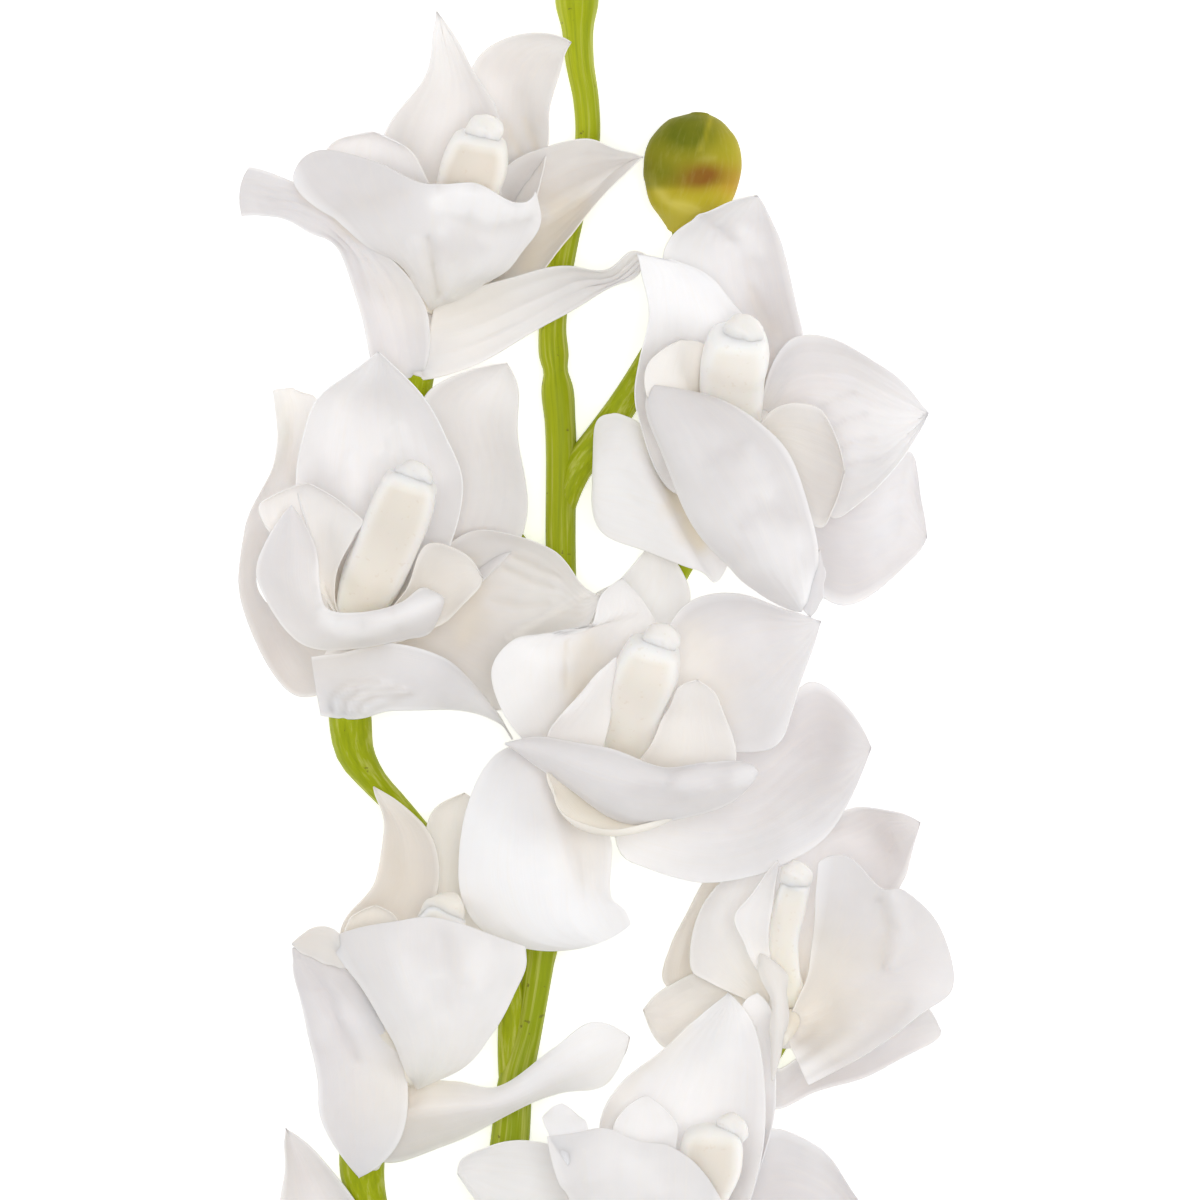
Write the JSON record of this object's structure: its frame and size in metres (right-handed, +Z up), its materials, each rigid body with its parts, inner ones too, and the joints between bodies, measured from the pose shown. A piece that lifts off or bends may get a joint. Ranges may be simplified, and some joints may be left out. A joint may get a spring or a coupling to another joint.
{
  "type": "cymbidium orchid stem",
  "caption": "Cut cymbidium orchid flower stem lying flat: a green stalk with white open blooms, each with a lip and a cream column, and green buds at its tip.",
  "frame": {"origin": "centre of the underside of the bounding box, on the surface that the stem lies on", "axes": "+Y along the stalk toward its growing tip, +Z up, the way the blooms face, +X to the right seen from above with the tip away"},
  "size_m": [0.2086, 0.6069, 0.0615],
  "materials": {
    "petal": "waxy white petal with a satin sheen, faint lengthwise veins and slightly translucent margins",
    "lip": "waxy white lip, cream toward its throat, softly dented",
    "column": "smooth cream column with a whiter cap",
    "stem": "smooth satin yellow-green stalk with faint lengthwise ridges",
    "bud": "smooth semi-gloss green bud with a reddish brown flush"
  },
  "bodies": {
    "root": {"bloom_1_tepals": "petal", "bloom_1_lip": "lip", "bloom_1_column": "column", "bloom_2_tepals": "petal", "bloom_2_lip": "lip", "bloom_2_column": "column", "bloom_3_tepals": "petal", "bloom_3_lip": "lip", "bloom_3_column": "column", "bloom_4_tepals": "petal", "bloom_4_lip": "lip", "bloom_4_column": "column", "bloom_5_tepals": "petal", "bloom_5_lip": "lip", "bloom_5_column": "column", "bloom_6_tepals": "petal", "bloom_6_lip": "lip", "bloom_6_column": "column", "bloom_7_tepals": "petal", "bloom_7_lip": "lip", "bloom_7_column": "column", "bloom_8_tepals": "petal", "bloom_8_lip": "lip", "bloom_8_column": "column", "bud_1": "bud", "bud_2": "bud", "bud_3": "bud", "bud_4": "bud", "stem": "stem"}
  },
  "joints": []
}
